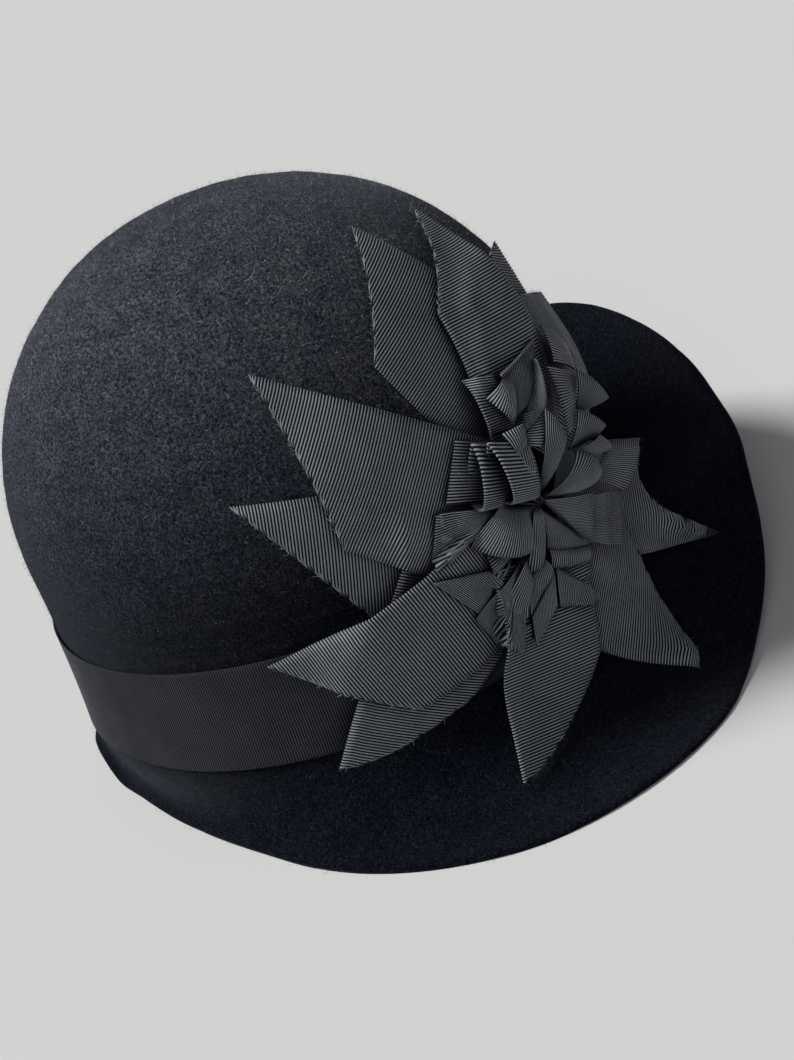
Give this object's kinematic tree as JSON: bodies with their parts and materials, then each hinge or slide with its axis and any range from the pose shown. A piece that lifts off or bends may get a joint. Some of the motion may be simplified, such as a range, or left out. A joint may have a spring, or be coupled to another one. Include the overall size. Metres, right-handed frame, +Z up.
{
  "type": "cloche hat",
  "caption": "Felt cloche hat with a domed crown, a brim turned up at the front, a ribbed ribbon band and a pleated ribbon flower with pointed petals at the side.",
  "frame": {"origin": "middle of the bounding box, on the surface that the brim rests on", "axes": "+Z up through the crown, -Y the front of the hat, -X the wearer's right, where the flower sits"},
  "size_m": [0.2522, 0.255, 0.1845],
  "materials": {
    "felt": "matt wool felt, near black with a charcoal mottle",
    "band_ribbon": "ribbed grosgrain, soft sheen",
    "flower_ribbon": "ribbed grosgrain, soft sheen"
  },
  "bodies": {
    "root": {"felt_body": "felt", "hat_band": "band_ribbon", "knot": "flower_ribbon", "petal_back": "flower_ribbon", "petal_back_low": "flower_ribbon", "petal_back_under": "flower_ribbon", "petal_far_front": "flower_ribbon", "petal_far_up": "flower_ribbon", "petal_front": "flower_ribbon", "petal_low": "flower_ribbon", "petal_low_back": "flower_ribbon", "petal_low_front": "flower_ribbon", "petal_up": "flower_ribbon", "petal_up_back": "flower_ribbon", "ruffle_back": "flower_ribbon", "ruffle_front": "flower_ribbon", "ruffle_low": "flower_ribbon", "ruffle_low_front": "flower_ribbon", "ruffle_up": "flower_ribbon"}
  },
  "joints": []
}
